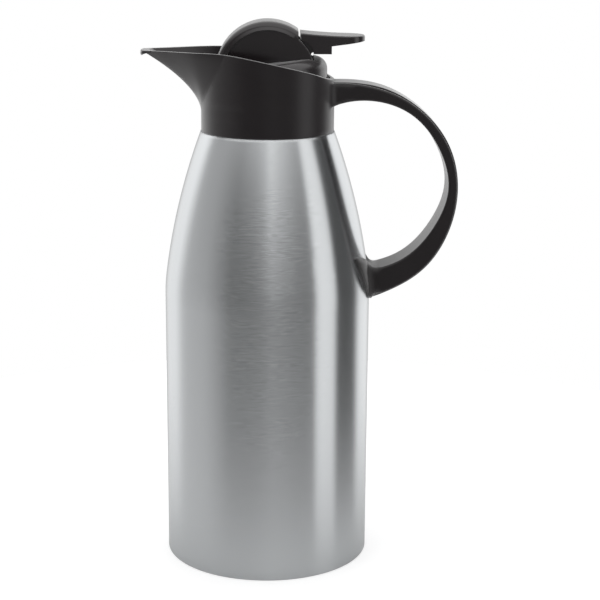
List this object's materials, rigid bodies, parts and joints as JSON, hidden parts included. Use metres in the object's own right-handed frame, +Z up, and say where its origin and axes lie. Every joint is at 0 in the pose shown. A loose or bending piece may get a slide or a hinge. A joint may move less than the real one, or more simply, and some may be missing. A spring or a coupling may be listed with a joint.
{
  "type": "thermal carafe",
  "caption": "Tall steel vacuum carafe with a tapered shoulder, pouring collar with spout and loop handle, and a screw-in stopper whose thumb lever lifts a sprung pouring valve.",
  "frame": {"origin": "middle of the foot of the steel shell, on the table", "axes": "+Z up along the flask's axis, +X towards the handle, -X towards the spout"},
  "size_m": [0.1792, 0.118, 0.3111],
  "materials": {
    "brushed_steel": "stainless steel brushed round the body",
    "plain_steel": "plain drawn stainless steel",
    "black_plastic": "satin black polypropylene",
    "silicone": "matt silicone",
    "bright_steel": "bright stainless steel",
    "solder_glass": "fused dark glass bead",
    "getter_metal": "dull sintered metal"
  },
  "bodies": {
    "carafe": {"outer_shell": "brushed_steel", "inner_flask": "plain_steel", "bottom_plate": "plain_steel", "evacuation_seal": "solder_glass", "getter": "getter_metal", "base_cover": "black_plastic", "neck_gasket": "silicone", "collar_and_handle": "black_plastic", "handle_cover": "black_plastic", "foot_bracket": "plain_steel", "handle_screw": "bright_steel"},
    "gasket": {"stopper_gasket": "silicone"},
    "stopper": {"stopper_body": "black_plastic", "stopper_deck": "black_plastic", "stem_seal": "silicone", "lid_cover": "black_plastic", "dome_cap": "black_plastic", "cover_screws": "bright_steel", "lever_pin": "bright_steel", "valve_spring": "bright_steel"},
    "lever": {"thumb_lever": "black_plastic"},
    "valve": {"valve_stem": "black_plastic", "valve_seal": "silicone", "valve_disc": "black_plastic", "valve_nut": "bright_steel"}
  },
  "joints": [
    {"name": "lid_lift", "type": "slide", "parent": "carafe", "child": "gasket", "axis": [0, 0, 1], "range_m": [0, 0.072]},
    {"name": "lid_turn", "type": "hinge", "parent": "gasket", "child": "stopper", "pos_m": [0, 0, 0.2681], "axis": [0, 0, 1], "range_deg": [0, 1081]},
    {"name": "lever_press", "type": "hinge", "parent": "stopper", "child": "lever", "pos_m": [0.015, 0, 0.288], "axis": [0, 1, 0], "range_deg": [0, 10]},
    {"name": "valve_slide", "type": "slide", "parent": "stopper", "child": "valve", "axis": [0, 0, 1], "range_m": [0, 0.0026], "stiffness_N_per_m": 150, "springref_m": -0.004, "deforming": ["valve_spring"]}
  ],
  "couplings": [
    {"joint": "lid_turn", "follows": "lid_lift", "rad_per_m": 261.8},
    {"joint": "lever_press", "follows": "valve_slide", "rad_per_m": 66.667}
  ]
}
